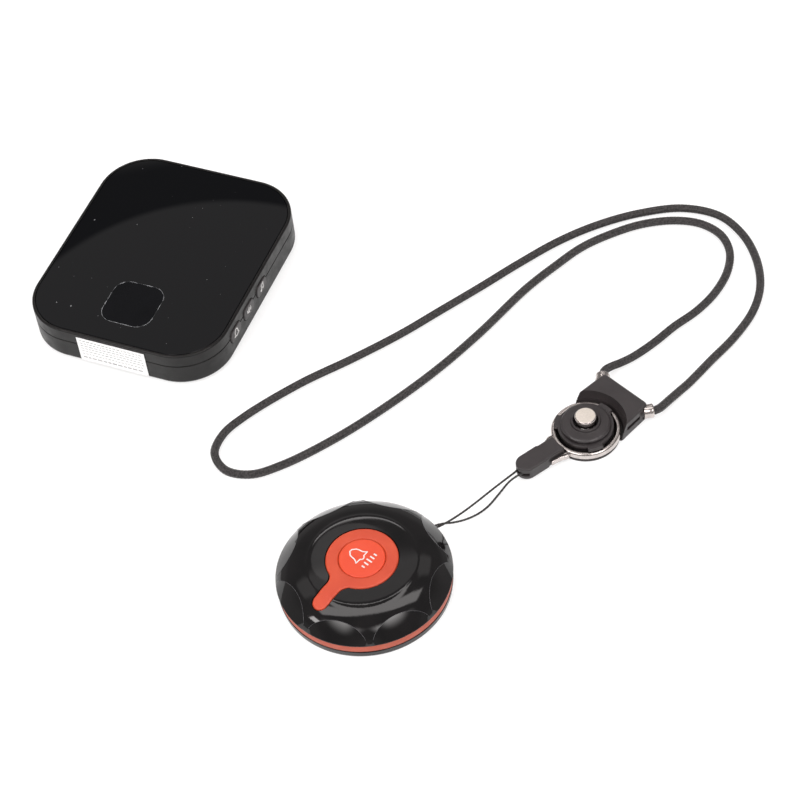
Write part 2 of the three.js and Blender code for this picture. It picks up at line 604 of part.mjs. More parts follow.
const SPEAKER_AT = [-12, 20];
placePlain(receiver, 'speaker_frame', shiftedBy(turned([
  [0, 5.2], [6, 5.2], [6, 4.7], [13, 4.7], [13, 3.1], [12, 3.1], [12, 4.0], [0, 4.0],
], 20), ...SPEAKER_AT), steel);
placePlain(receiver, 'speaker_cone', shiftedBy(turned([
  [0, 3.4], [4, 3.5], [10.8, 3.1], [11.6, 3.1], [11.6, 3.4], [4, 3.8], [0, 3.7],
], 20), ...SPEAKER_AT), coneGrey);
placePlain(receiver, 'receiver_battery', slab(softOutline([
  [-20, 3, 1.5], [12, 3, 1.5], [12, 27, 1.5], [-20, 27, 1.5],
]), 7.8, 12.2), pouchGrey);
placePlain(receiver, 'vibration_motor', post(2.4, -5, 5, 16)
  .rotateY(Math.PI / 2).translate(-18, -22, 10.2), steel);
placePlain(receiver, 'antenna_spring', coilSpring(2.2, 0.6, -6, 6, 3)
  .rotateY(Math.PI / 2).translate(-18, -10, 10.4), copper);

placePlain(receiver, 'rating_label',
  block(0, -CASE_LENGTH / 2 - 0.22, 8.2, 28.6, 0.16, 12.6), labelWhite);

// ================================================================ the set
const set = new THREE.Group();
set.add(callButton, buckle, strap, cords, receiver);

export default set;
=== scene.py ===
# Looks for the caller set: a round call button on a neck lanyard, and its table receiver.
# The frame is in metres. Each unit's shapes are written in millimetres in the unit's own
# upright frame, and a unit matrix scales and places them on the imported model.

from math import asin, atan2, cos, degrees, hypot, pi, radians, sin, sqrt

import bmesh
import bpy
from mathutils import Matrix, Vector


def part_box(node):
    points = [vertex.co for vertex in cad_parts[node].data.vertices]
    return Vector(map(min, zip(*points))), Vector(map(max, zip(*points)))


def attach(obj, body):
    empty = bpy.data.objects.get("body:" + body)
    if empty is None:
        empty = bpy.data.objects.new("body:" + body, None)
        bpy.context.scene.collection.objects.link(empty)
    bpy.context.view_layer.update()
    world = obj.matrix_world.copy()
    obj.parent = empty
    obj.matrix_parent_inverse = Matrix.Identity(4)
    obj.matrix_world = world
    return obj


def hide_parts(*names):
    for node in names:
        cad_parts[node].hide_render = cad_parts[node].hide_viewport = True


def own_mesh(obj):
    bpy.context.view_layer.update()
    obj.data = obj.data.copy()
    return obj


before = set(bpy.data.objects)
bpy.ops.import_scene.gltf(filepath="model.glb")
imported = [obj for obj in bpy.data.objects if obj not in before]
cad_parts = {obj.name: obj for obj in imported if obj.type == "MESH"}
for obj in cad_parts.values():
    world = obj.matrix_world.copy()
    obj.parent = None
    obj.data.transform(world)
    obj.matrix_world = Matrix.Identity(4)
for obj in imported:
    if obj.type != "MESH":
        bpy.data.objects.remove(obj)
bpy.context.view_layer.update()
MM = 0.001
IN_METRES = Matrix.Scale(MM, 4)


def add_object(name, data):
    obj = bpy.data.objects.new(name, data)
    bpy.context.scene.collection.objects.link(obj)
    return obj


# ---- camera
CAMERA_TARGET = Vector((0.0217, -0.0083, 0.0))
CAMERA_DISTANCE = 0.9294
CAMERA_ELEVATION = radians(50.0)
CAMERA_ROLL = radians(-7.6)
CAMERA_LENS = 112.5
CAMERA_SENSOR = 36.0


def add_camera():
    forward = Vector((0, cos(CAMERA_ELEVATION), -sin(CAMERA_ELEVATION)))
    level_right = Vector((1, 0, 0))
    level_up = level_right.cross(forward)
    right = cos(CAMERA_ROLL) * level_right + sin(CAMERA_ROLL) * level_up
    up = cos(CAMERA_ROLL) * level_up - sin(CAMERA_ROLL) * level_right
    data = bpy.data.cameras.new("camera")
    data.lens = CAMERA_LENS
    data.sensor_width = CAMERA_SENSOR
    camera = add_object("camera", data)
    axes = Matrix((right, up, -forward)).transposed().to_4x4()
    camera.matrix_world = Matrix.Translation(CAMERA_TARGET - CAMERA_DISTANCE * forward) @ axes
    bpy.context.scene.camera = camera


add_camera()

# ---- materials
# Colours are written as they look on screen, from 0 to 255. The studio shows a surface LIGHT
# times brighter than its own colour, so seen() divides by that.
LIGHT = 1.5
PLASTIC_IOR = 1.5
METAL_GRAIN = 500
METAL_SPREAD = 0.05


def linear(channel):
    """The sRGB curve, from a screen value to a linear one."""
    value = channel / 255.0
    return value / 12.92 if value <= 0.04045 else ((value + 0.055) / 1.055) ** 2.4


def seen(red, green, blue):
    return tuple(linear(c) / LIGHT for c in (red, green, blue)) + (1.0,)


def grey(level):
    return (level, level, level, 1)


class NodeTree:
    """A node tree that is built up node by node."""

    def __init__(self, tree):
        self.nodes = tree.nodes
        self.links = tree.links

    def node(self, kind, output, inputs, **settings):
        """Makes a node, sets or links its inputs, and returns one of its outputs."""
        node = self.nodes.new("ShaderNode" + kind)
        for name, value in settings.items():
            setattr(node, name, value)
        for name, value in inputs.items():
            if isinstance(value, bpy.types.NodeSocket):
                self.links.new(value, node.inputs[name])
            else:
                node.inputs[name].default_value = value
        return node.outputs[output]


class Surface(NodeTree):
    """A principled material that is built up from noise layers in object space."""

    def __init__(self, name, roughness, metallic=0.0):
        self.material = bpy.data.materials.new(name)
        self.material.use_nodes = True
        super().__init__(self.material.node_tree)
        self.shader = self.nodes["Principled BSDF"]
        self.set(Roughness=roughness, Metallic=metallic, IOR=PLASTIC_IOR)
        self.place = self.node("TexCoord", "Object", {})

    def set(self, **values):
        for name, value in values.items():
            self.shader.inputs[name.replace("_", " ")].default_value = value
        return self

    def feed(self, name, output):
        """Links a node's output to one of the shader's sockets."""
        self.links.new(output, self.shader.inputs[name])
        return self

    def noise(self, scale, detail=3.0, rough=0.5):
        return self.node("TexNoise", "Fac", {"Vector": self.place, "Scale": scale,
                                             "Detail": detail, "Roughness": rough})

    def ramp(self, factor, stops):
        node = self.nodes.new("ShaderNodeValToRGB")
        elements = node.color_ramp.elements
        while len(elements) < len(stops):
            elements.new(0.5)
        for element, (position, color) in zip(elements, stops):
            element.position = position
            element.color = color
        self.links.new(factor, node.inputs["Fac"])
        return node.outputs["Color"]

    def color(self, factor, *stops):
        return self.feed("Base Color", self.ramp(factor, stops))

    def roughness(self, factor, smooth, rough):
        """Spreads the middle of the noise's range from smooth to rough."""
        return self.feed("Roughness", self.node("MapRange", "Result", {
            "Value": factor, "From Min": 0.35, "From Max": 0.65,
            "To Min": smooth, "To Max": rough}))

    def bump(self, factor, depth, strength=1.0):
        """Relief of a depth in metres."""
        return self.feed("Normal", self.node("Bump", "Normal", {
            "Height": factor, "Distance": depth, "Strength": strength}))


def mottled(name, roughness, scale, detail, low, high, metallic=0.0):
    """A surface whose colour runs between two (noise value, colour) stops."""
    surface = Surface(name, roughness, metallic)
    return surface.color(surface.noise(scale, detail), low, high)


def moulded(name, dark, light, roughness, spread=0.06, grain=2600, depth=0.00002, **values):
    """Moulded plastic or rubber: slight mottling, uneven gloss and a fine spark texture."""
    surface = mottled(name, roughness, 90, 3.0, (0.35, dark), (0.65, light))
    surface.roughness(surface.noise(260), roughness - spread, roughness + spread)
    if depth:
        surface.bump(surface.noise(grain, 2.0), depth)
    return surface.set(**values)


def metal(name, dark, light, roughness):
    """Bare or plated metal: its colour and its gloss vary from spot to spot."""
    surface = mottled(name, roughness, METAL_GRAIN, 4.0, (0.3, dark), (0.7, light), 1.0)
    gloss = surface.noise(METAL_GRAIN)
    surface.roughness(gloss, roughness - METAL_SPREAD, roughness + METAL_SPREAD)
    return surface


def gloss_black():
    """Polished dome plastic with faint wiping haze and hair scratches."""
    stops = (0.35, seen(14, 13, 14)), (0.7, seen(22, 20, 21))
    surface = mottled("gloss_black", 0.07, 120, 3.0, *stops)
    surface.roughness(surface.noise(70, 5.0, rough=0.65), 0.04, 0.08)
    surface.bump(surface.noise(60, 2.0), 0.00001, 0.3)
    return surface


def panel_black():
    """The receiver's tinted acrylic top, with scattered dust specks."""
    surface = Surface("panel_black", 0.03)
    specks = surface.noise(700, 1.0)
    dust = surface.ramp(specks, [(0.0, grey(0)), (0.785, grey(0)), (0.815, grey(1))])
    surface.feed("Base Color", surface.node("Mix", "Result", {
        "Factor": dust, "A": seen(5, 6, 9), "B": seen(120, 120, 122)}, data_type="RGBA"))
    surface.roughness(surface.noise(40, 4.0), 0.0, 0.012)
    return surface.set(Specular_IOR_Level=0.2)


def braid():
    """The neck cord's yarn, with loose fibres."""
    surface = mottled("braid", 0.75, 1500, 3.0, (0.35, seen(23, 21, 22)), (0.65, seen(71, 67, 67)))
    surface.bump(surface.noise(5200, 2.0), 0.00004)
    return surface.set(Sheen_Weight=0.25, Sheen_Roughness=0.4)


def label_paper():
    surface = mottled("label_paper", 0.5, 300, 3.0, (0.3, grey(0.82)), (0.7, grey(0.87)))
    surface.bump(surface.noise(900), 0.00001)
    return surface


# Look: darkest and lightest colour, roughness, and what differs from moulded()'s defaults.
MOULDED = {
    # The facets' raised edges: a lighter grey that paints their highlight on the black dome.
    "facet_edge_glint": ((58, 57, 60), (70, 69, 72), 0.3, {}),
    "window_black": ((3, 4, 7), (8, 9, 13), 0.06,
                     {"spread": 0.02, "depth": 0, "Specular_IOR_Level": 0.09}),
    "matt_black": ((47, 42, 43), (56, 51, 52), 0.42, {}),
    "case_black": ((7, 5, 5), (13, 11, 11), 0.4, {"grain": 3200, "Specular_IOR_Level": 0.34}),
    "accent_orange": ((200, 88, 60), (210, 96, 68), 0.5, {"depth": 0.000012}),
    "signal_orange": ((212, 72, 40), (220, 80, 46), 0.46, {"depth": 0.000012}),
    "key_orange": ((238, 76, 40), (244, 84, 46), 0.42, {"depth": 0.000012}),
    "string": ((30, 28, 28), (52, 49, 48), 0.6, {"grain": 6000, "depth": 0.00003}),
    "rubber": ((28, 28, 29), (38, 38, 39), 0.75, {}),
    "switch_grey": ((132, 134, 137), (150, 152, 155), 0.45, {}),
    "print_white": ((238, 236, 234), (250, 249, 247), 0.5, {"grain": 3000}),
    "print_grey": ((168, 168, 170), (214, 214, 214), 0.6, {"grain": 3000}),
    "pouch": ((150, 154, 159), (170, 173, 177), 0.35, {}),
    "diffuser": ((225, 225, 222), (238, 238, 236), 0.45, {}),
    "cone": ((50, 50, 52), (66, 66, 68), 0.8, {}),
}
# Look: darkest and lightest reflectance, and roughness.
METALS = {
    "chrome": ((0.5, 0.46, 0.44), (0.62, 0.57, 0.55), 0.2),
    "steel": ((0.50, 0.49, 0.47), (0.68, 0.66, 0.64), 0.3),
    "copper": ((0.72, 0.32, 0.16), (0.85, 0.42, 0.22), 0.3),
    "cell": ((0.60, 0.60, 0.61), (0.75, 0.75, 0.76), 0.25),
}
LOOKS = {
    "gloss_black": gloss_black(),
    "panel_black": panel_black(),
    "braid": braid(),
    "label": label_paper(),
    # A painted highlight: the bright, broken line of light along the window's rim, as a light-grey
    # ribbon.
    "window_rim_glint": mottled("window_rim_glint", 0.3, 420, 4.0, (0.42, seen(30, 32, 36)),
                           (0.62, seen(170, 172, 176))),
    # The brushed face of the release button.
    "satin_silver": mottled("satin_silver", 0.36, 1800, 4.0, (0.3, (0.64, 0.58, 0.52, 1)),
                            (0.7, (0.73, 0.67, 0.60, 1)), 0.6),
    "board": mottled("board", 0.4, 900, 3.0, (0.45, seen(20, 84, 48)),
                     (0.55, seen(30, 104, 60))),
}
for look, (dark, light, roughness, options) in MOULDED.items():
    LOOKS[look] = moulded(look, seen(*dark), seen(*light), roughness, **options)
for look, (dark, light, roughness) in METALS.items():
    LOOKS[look] = metal(look, (*dark, 1), (*light, 1), roughness)


# ---- shape helpers
# A shape is (points, faces), with points in millimetres. An outline runs counter-clockwise.

def polar(radius, angle, x=0.0, y=0.0):
    return x + radius * cos(angle), y + radius * sin(angle)


def arc(x, y, radius, start, end, steps):
    """Points round (x, y) from one angle to another, in degrees."""
    return [polar(radius, radians(start + (end - start) * k / steps), x, y)
            for k in range(steps + 1)]


def bend(start, corner, end, steps):
    """A quadratic curve from start to end that leans towards the corner."""
    line = []
    for k in range(steps + 1):
        t = k / steps
        line.append(tuple(start * (1 - t) ** 2 + corner * 2 * t * (1 - t) + end * t * t))
    return line


def eased(corners, steps=5):
    """A line through (x, y) or (x, y, softness) corners, each eased over its softness."""
    line = []
    for i, corner in enumerate(corners):
        point = Vector(corner[:2])
        if len(corner) == 2:
            line.append(tuple(point))
            continue
        before = Vector(corners[i - 1][:2])
        after = Vector(corners[(i + 1) % len(corners)][:2])
        start = point + (before - point).normalized() * corner[2]
        end = point + (after - point).normalized() * corner[2]
        line.extend(bend(start, point, end, steps))
    return line


CORNERS = ((1, 1), (-1, 1), (-1, -1), (1, -1))


def rounded_rectangle(width, length, radius, steps):
    line = []
    for quarter, (side_x, side_y) in enumerate(CORNERS):
        x = side_x * (width / 2 - radius)
        y = side_y * (length / 2 - radius)
        line.extend(arc(x, y, radius, 90 * quarter, 90 * quarter + 90, steps))
    return line


def inset(line, distance):
    """Moves a closed outline inwards."""
    inner = []
    count = len(line)
    for i in range(count):
        here = Vector(line[i])
        back = here - Vector(line[i - 1])
        ahead = Vector(line[(i + 1) % count]) - here
        if back.length < 1e-6:
            back = ahead
        if ahead.length < 1e-6:
            ahead = back
        back.normalize()
        ahead.normalize()
        along = (back + ahead).normalized()
        normal = Vector((-along.y, along.x))
        inner.append(tuple(here + normal * distance / max(0.5, along.dot(ahead))))
    return inner


def skin(rings, loop=False):
    """Joins rings of points with faces. A ring of one point is a pole."""
    points = []
    starts = []
    faces = []
    for ring in rings:
        starts.append(len(points))
        points.extend(tuple(p) for p in ring)
    for a in range(len(rings) if loop else len(rings) - 1):
        b = (a + 1) % len(rings)
        count = max(len(rings[a]), len(rings[b]))
        for i in range(count):
            j = (i + 1) % count
            face = []
            for ring, k in ((a, i), (a, j), (b, j), (b, i)):
                index = starts[ring] + (k if len(rings[ring]) > 1 else 0)
                if index not in face:
                    face.append(index)
            faces.append(face)
    if not loop:
        for end in (0, len(rings) - 1):
            if len(rings[end]) > 1:
                faces.append([starts[end] + k for k in range(len(rings[end]))])
    return points, faces


def turned(profile, segments=96, loop=False):
    """Turns a profile of (radius, height) about the unit's Z axis."""
    rings = []
    for radius, height in profile:
        circle = arc(0, 0, radius, 0, 360, segments)[:-1] if radius > 1e-6 else [(0, 0)]
        rings.append([(x, y, height) for x, y in circle])
    return skin(rings, loop)


def rounding(edge, steps):
    """Distances (edge - cos, edge - sin) round a rounded edge; one point if it is sharp."""
    angles = [pi / 2 * k / steps for k in range(steps + 1 if edge else 1)]
    return [(edge * (1 - cos(angle)), edge * (1 - sin(angle))) for angle in angles]


def edge_levels(low, high, low_edge=0.0, high_edge=0.0, steps=5):
    """(height, inset) levels of a slab whose two edges are rounded."""
    lower = [(low + rise, inward) for rise, inward in rounding(low_edge, steps)]
    upper = [(high - drop, inward) for inward, drop in rounding(high_edge, steps)]
    return lower + upper


def stacked(outline_at, levels, loop=False):
    """A shape from the outlines at (height, inset) levels."""
    return skin([[(x, y, z) for x, y in outline_at(distance)] for z, distance in levels], loop)


def loft(outline, levels):
    return stacked(lambda distance: inset(outline, distance), levels)


def slab(outline, low, high, low_edge=0.0, high_edge=0.0, steps=5):
    return loft(outline, edge_levels(low, high, low_edge, high_edge, steps))


def block(x, y, z, width, length, height):
    outline = [(x + side_x * width / 2, y + side_y * length / 2) for side_x, side_y in CORNERS]
    return slab(outline, z - height / 2, z + height / 2)


def post(radius, low, high, segments=48):
    return turned([(0, low), (radius, low), (radius, high), (0, high)], segments)


def ring_plate(outline, hole, low, high, edge):
    """A plate with a round hole, and its outer edges rounded."""
    rings = [[(x, y, z) for x, y in inset(outline, distance)]
             for z, distance in edge_levels(low, high, edge, edge)]
    for height in (high, low):
        rings.append([(*polar(hole, atan2(y, x)), height) for x, y in outline])
    return skin(rings, loop=True)


def moved(shape, matrix):
    points, faces = shape
    return [tuple(matrix @ Vector(p)) for p in points], faces


def shifted(shape, x, y, z=0.0):
    return moved(shape, Matrix.Translation((x, y, z)))


def together(*shapes):
    points = []
    faces = []
    for shape_points, shape_faces in shapes:
        start = len(points)
        points.extend(shape_points)
        faces.extend([[start + k for k in face] for face in shape_faces])
    return points, faces


def ribbon(line, width, height, closed=False, thickness=0.06):
    """A thin line of print or painted highlight whose top lies at height(x, y)."""
    count = len(line)
    rings = []
    for i in range(count):
        here = Vector(line[i])
        back = here - Vector(line[i - 1]) if closed or i > 0 else Vector(line[1]) - here
        ahead = Vector(line[(i + 1) % count]) - here if closed or i < count - 1 else back
        along = (back.normalized() + ahead.normalized()).normalized()
        across = Vector((-along.y, along.x)) * width / 2 / max(0.5, along.dot(ahead.normalized()))
        left = here + across
        right = here - across
        left_top = height(*left)
        right_top = height(*right)
        rings.append([(*left, left_top - thickness), (*left, left_top),
                      (*right, right_top), (*right, right_top - thickness)])
    return skin(rings, loop=closed)


# ---- object helpers

def mesh_object(name, shape, unit):
    points, faces = shape
    mesh = bpy.data.meshes.new(name)
    mesh.from_pydata([unit @ Vector(p) for p in points], [], faces)
    work = bmesh.new()
    work.from_mesh(mesh)
    bmesh.ops.remove_doubles(work, verts=work.verts, dist=1e-7)
    bmesh.ops.recalc_face_normals(work, faces=work.faces)
    work.to_mesh(mesh)
    work.free()
    return add_object(name, mesh)


def bake_modifiers(obj):
    bpy.context.view_layer.update()
    evaluated = obj.evaluated_get(bpy.context.evaluated_depsgraph_get())
    mesh = bpy.data.meshes.new_from_object(evaluated)
    old = obj.data
    obj.modifiers.clear()
    obj.data = mesh
    bpy.data.meshes.remove(old)
    mesh.name = obj.name


def cut(obj, shapes, unit):
    helpers = []
    for i, shape in enumerate(shapes):
        helper = mesh_object(f"{obj.name}_cut_{i}", shape, unit)
        modifier = obj.modifiers.new(helper.name, "BOOLEAN")
        modifier.operation = "DIFFERENCE"
        modifier.solver = "EXACT"
        modifier.object = helper
        helpers.append(helper)
    bake_modifiers(obj)
    for helper in helpers:
        bpy.data.meshes.remove(helper.data)


def finish_piece(obj, body, look, node=None):
    obj.data.materials.clear()
    obj.data.materials.append(LOOKS[look].material)
    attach(obj, body)
    if node:
        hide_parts(node)
    return obj


def piece(name, shape, body, node, look="matt_black", cuts=(), angle=32):
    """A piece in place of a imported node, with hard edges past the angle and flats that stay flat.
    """
    obj = mesh_object(name, shape, UNITS[body])
    if cuts:
        cut(obj, cuts, UNITS[body])
    obj.data.shade_smooth()
    obj.data.set_sharp_from_angle(angle=radians(angle))
    modifier = obj.modifiers.new("flats", "WEIGHTED_NORMAL")
    modifier.keep_sharp = True
    bake_modifiers(obj)
    return finish_piece(obj, body, look, node)


def add_print_or_glint(name, shape, body, look):
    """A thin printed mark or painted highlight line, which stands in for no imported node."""
    finish_piece(mesh_object(name, shape, UNITS[body]), body, look, None)


def unit_matrix(centre_node, turn):
    low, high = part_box(centre_node)
    place = Matrix.Translation(((low.x + high.x) / 2, (low.y + high.y) / 2, 0))
    return place @ Matrix.Rotation(radians(turn), 4, "Z") @ Matrix.Scale(MM, 4)


CALL_BUTTON = unit_matrix("call_board", 43.5)
BUCKLE = unit_matrix("hub_cap", 38)
RECEIVER = unit_matrix("receiver_upper_case", -27.6)
UNITS = {
    "call_button": CALL_BUTTON, "call_key": CALL_BUTTON, "lanyard": BUCKLE, "release": BUCKLE,
    "strap": unit_matrix("hub_cap", 210), "receiver": RECEIVER, "melody_key": RECEIVER,
    "volume_key": RECEIVER, "alert_key": RECEIVER,
}

# ---- cords
CURVE_STEPS = 24


def smooth_route(points, spacing):
    """A centripetal Catmull-Rom curve through the points, in even steps, and its length."""
    spots = [Vector(p) for p in points]
    spots = [2 * spots[0] - spots[1]] + spots + [2 * spots[-1] - spots[-2]]
    fine = []
    for i in range(1, len(spots) - 2):
        a, b, c, d = spots[i - 1:i + 3]
        first = (b - a).length ** 0.5
        middle = (c - b).length ** 0.5
        last = (d - c).length ** 0.5
        leave = ((b - a) / first - (c - a) / (first + middle) + (c - b) / middle) * middle
        arrive = ((c - b) / middle - (d - b) / (middle + last) + (d - c) / last) * middle
        for k in range(CURVE_STEPS):
            t = k / CURVE_STEPS
            fine.append(
                b * (2 * t ** 3 - 3 * t ** 2 + 1)
                + c * (3 * t ** 2 - 2 * t ** 3)
                + leave * (t ** 3 - 2 * t ** 2 + t)
                + arrive * (t ** 3 - t ** 2)
            )
    fine.append(spots[-2])
    lengths = [0.0]
    for before, after in zip(fine, fine[1:]):
        lengths.append(lengths[-1] + (after - before).length)
    count = round(lengths[-1] / spacing)
    even = []
    at = 0
    for k in range(count + 1):
        want = lengths[-1] * k / count
        while at < len(fine) - 2 and lengths[at + 1] < want:
            at += 1
        share = (want - lengths[at]) / max(1e-9, lengths[at + 1] - lengths[at])
        even.append(fine[at].lerp(fine[at + 1], share))
    return even, lengths[-1]


def tube_along(path, radius, sides, relief=None, spacing=1.0):
    """A plain tube, or one whose radius is scaled by relief(distance, angle)."""
    rings = []
    normal = Vector((0, 0, 1))
    last = len(path) - 1
    for i, spot in enumerate(path):
        tangent = (path[min(i + 1, last)] - path[max(i - 1, 0)]).normalized()
        normal = (normal - tangent * normal.dot(tangent)).normalized()
        side = tangent.cross(normal)
        ring = []
        for k in range(sides):
            angle = 2 * pi * k / sides
            reach = radius * relief(i * spacing, angle) if relief else radius
            ring.append(spot + (normal * cos(angle) + side * sin(angle)) * reach)
        rings.append(ring)
    return skin(rings)


STITCH_ROWS = 8
STITCH_LENGTH = 1.35


def braid_relief(distance, angle):
    """Rows of knit stitches along the cord: a groove between rows, a chevron in each stitch."""
    across = (STITCH_ROWS * angle / (2 * pi)) % 1
    along = (distance / STITCH_LENGTH + abs(across - 0.5)) % 1
    crown = sin(pi * across) ** 0.5
    return 0.82 + 0.18 * crown * (0.7 + 0.3 * sin(pi * along))


def string_relief(distance, angle):
    """Two plies twisted together."""
    return 0.86 + 0.14 * abs(cos(angle + distance * 2.2))


LYING = 1.7
# From one ferrule round the loop to the other. A point without a height lies on the floor.
NECK_CORD_ROUTE = [
    (95.6, -19.4, 4.2), (96.2, -16.8, 4.2), (96.9, -14.2, 4.2), (97.3, -12.4, 4.2),
    (98.6, -10.1, 3.8), (101, -8.3, 3.1), (104.4, -6.6, 2.3), (109.8, -3.9, 1.75),
    (118.6, 1.6), (127.2, 8.1), (137.2, 14.6), (145.7, 22.6),
    (152.2, 32.6), (154.8, 42.6), (153, 51.6), (146.7, 58.6),
    (137.2, 62.2), (124.2, 62.6), (110.2, 59.2), (99.2, 54.6),
    (88.2, 47.1), (75.2, 37.1), (55.2, 18.1), (38.2, 3.6),
    (20.2, -9.4), (-2.8, -23.4), (-23.8, -32.9), (-35.8, -35.4),
    (-44.8, -31.9), (-48.4, -23.4), (-44.8, -14.9), (-36.8, -8),
    (-14.8, 4.6), (6.2, 13.6), (25.2, 22.6), (41.2, 31.6),
    (58.2, 41.2), (74.2, 50.6), (91.2, 59.6), (107.2, 65.4),
    (124.2, 68.6), (141.2, 68.2), (154.2, 61.8), (161.2, 50.6),
    (164, 36.6), (162.8, 22.6), (157.7, 10.6), (148.2, -1.2),
    (138.2, -10.4), (128.2, -19.8), (123.8, -23.4, 1.8), (120, -26.8, 2.3),
    (117.4, -29.4, 3), (115.2, -31.6, 3.8), (113.1, -32.7, 4.2), (111.3, -32.7, 4.2),
    (108.6, -32.7, 4.2), (105.9, -32.7, 4.2),
]
# From the call button to the strap end, round its pin, and back.
TETHER_ROUTE = [
    (24.2, -75.6, 4.9), (26, -74.5, 4.9), (28.1, -73.2, 4.9), (30.4, -71.9, 4.4),
    (33.8, -69.7, 3.7), (38.2, -66.6, 3), (43, -63.1, 2.7), (51.4, -57.2, 3.1),
    (56.2, -54, 3.4), (59.4, -51.8, 3.5), (62.4, -49.2, 3.5), (64.1, -49.4, 3.5),
    (64.7, -50.8, 3.5), (63.8, -52.1, 3.5), (60, -53.5, 3.3), (56.6, -55, 2.2),
    (52.3, -58.9, 0.9), (47.9, -63.4, 0.6), (43.8, -66.2, 0.6), (39, -68.4, 1.2),
    (34.6, -69.8, 2.3), (30.8, -70.9, 3.9), (27.4, -72.2, 4.8), (25.3, -73.5, 4.9),
    (23.4, -74.7, 4.9),
]


def add_cord(name, route, diameter, sides, relief, spacing, body, look, node):
    """A cord along a route in millimetres: a tube with a ring at each spacing along a smooth path.
    """
    path, length = smooth_route([(*spot, LYING)[:3] for spot in route], spacing)
    obj = mesh_object(name, tube_along(path, diameter / 2, sides, relief, spacing), IN_METRES)
    obj.data.shade_smooth()
    finish_piece(obj, body, look, node)


add_cord("neck_cord_braid", NECK_CORD_ROUTE, 3.2, 32, braid_relief, 0.34, "lanyard", "braid",
         "neck_cord")
add_cord("tether_string", TETHER_ROUTE, 0.8, 12, string_relief, 0.25, "call_button", "string",
         "tether_cord")

# ---- call button
# The dome's line from its middle down to the rim, as (radius, height).
DOME_LINE = [
    (0.0, 15.7), (8.0, 15.62), (14.0, 15.4), (17.4, 15.18), (18.6, 15.06), (19.3, 14.93),
    (19.9, 14.66), (20.7, 14.42), (22.2, 14.04), (24.4, 13.32), (26.4, 12.4), (28.2, 11.2),
    (29.7, 9.8), (30.7, 8.4), (31.15, 7.5), (31.1, 6.95), (30.9, 6.7),
]
DOME_STEP = 0.2
DOME_COLUMNS = 480
# A column's points run down the crown and the facet, whose first point is the arch again.
CROWN_STEPS = 40
FACET_STEPS = 12
SMOOTH_ROWS = CROWN_STEPS + FACET_STEPS + 2
SURROUND_RADIUS = 12.8
SURROUND_EDGE = 0.55
SURROUND_RISE = 0.18
TAIL_HALF = 2.9
TAIL_REACH = 24.7
TAIL_FILLET = 1.6
# The lip round the call key, as (radius, depth below the surround).
KEY_OPENING = ((8.6, 0.06), (8.44, 0.2), (8.4, 0.4), (8.28, 0.5), (8.28, 2.0))
LIP_TOP_RADIUS = 8.85
KEY_RADIUS = 8.2
KEY_EDGE = 0.45
FACET_COUNT = 8
FACET_HALF_ANGLE = radians(20.8)
FACET_TOP = 25.2
FACET_BULGE = 0.16
FACET_EDGE = 0.085
BELL = [
    (0.0, 2.55), (0.55, 2.45), (0.75, 2.1), (1.35, 1.6), (1.6, 0.7), (1.75, -0.5), (2.1, -1.15),
    (2.55, -1.7), (0.75, -1.75), (0.6, -2.15), (0.0, -2.4),
]
dome_path, _ = smooth_route([(radius, 0, height) for radius, height in DOME_LINE], DOME_STEP)


def dome_height(x, y):
    """Height of the dome's skin above a point inside its widest circle."""
    radius = hypot(x, y)
    for before, after in zip(dome_path, dome_path[1:]):
        if before.x <= radius <= after.x:
            share = (radius - before.x) / max(1e-9, after.x - before.x)
            return before.z + share * (after.z - before.z)
    return dome_path[0].z


def dome_station(radius, height=None):
    """Distance along the dome's line to a radius, or to a radius and height near the rim."""
    for k, spot in enumerate(dome_path):
        if spot.x >= radius and (height is None or spot.z <= height):
            return k * DOME_STEP
    return (len(dome_path) - 1) * DOME_STEP


RIM_STATION = dome_station(31.0, 7.5)
ARCH_STATION = dome_station(FACET_TOP)


def on_dome(station):
    """((radius, height), outward normal) of the dome's line at a distance along it."""
    k = min(max(station / DOME_STEP, 0.0), len(dome_path) - 1.001)
    at = int(k)
    spot = dome_path[at].lerp(dome_path[at + 1], k - at)
    low = dome_path[max(at - 1, 0)]
    high = dome_path[min(at + 2, len(dome_path) - 1)]
    run = (high - low).normalized()
    return (spot.x, spot.z), (-run.z, run.x)


def surround_outline(extra):
    """The round surround with its tail to -X, from the tail's lower joint."""
    radius = SURROUND_RADIUS + extra
    half = TAIL_HALF + extra
    joint = asin((half + TAIL_FILLET) / radius)
    joint_angle = degrees(joint)
    disc = arc(0, 0, radius, joint_angle - 180, 180 - joint_angle, 120)
    corner = Vector((-radius * cos(joint) - TAIL_FILLET, half))
    end = Vector((-radius - 2.6, half))
    side = bend(Vector(disc[-1]), corner, end, 8)[1:]
    cap_x = TAIL_HALF - TAIL_REACH
    side += [(end.x + (cap_x - end.x) * k / 8, half) for k in range(1, 8)]
    return disc + side + arc(cap_x, 0, half, 90, 270, 16) + [(x, -y) for x, y in reversed(side)]


def ray_reach(outline, angle):
    """Distance from the centre to an outline, straight out at an angle."""
    way = Vector(polar(1, angle))
    far = 0.0
    for k, corner in enumerate(outline):
        a = Vector(outline[k - 1])
        b = Vector(corner)
        side_a = way.x * a.y - way.y * a.x
        side_b = way.x * b.y - way.y * b.x
        if side_a * side_b > 0 or side_a == side_b:
            continue
        spot = a.lerp(b, side_a / (side_a - side_b))
        far = max(far, spot.dot(way))
    return far


def facet_station(angle):
    """Where a facet's arch begins on the dome's line; at the rim between facets."""
    step = 2 * pi / FACET_COUNT
    off = (angle % step) - step / 2
    share = min(1.0, abs(off) / FACET_HALF_ANGLE)
    rise = (RIM_STATION - ARCH_STATION) * sqrt(1 - share * share)
    return min(RIM_STATION - 0.02, RIM_STATION - rise)


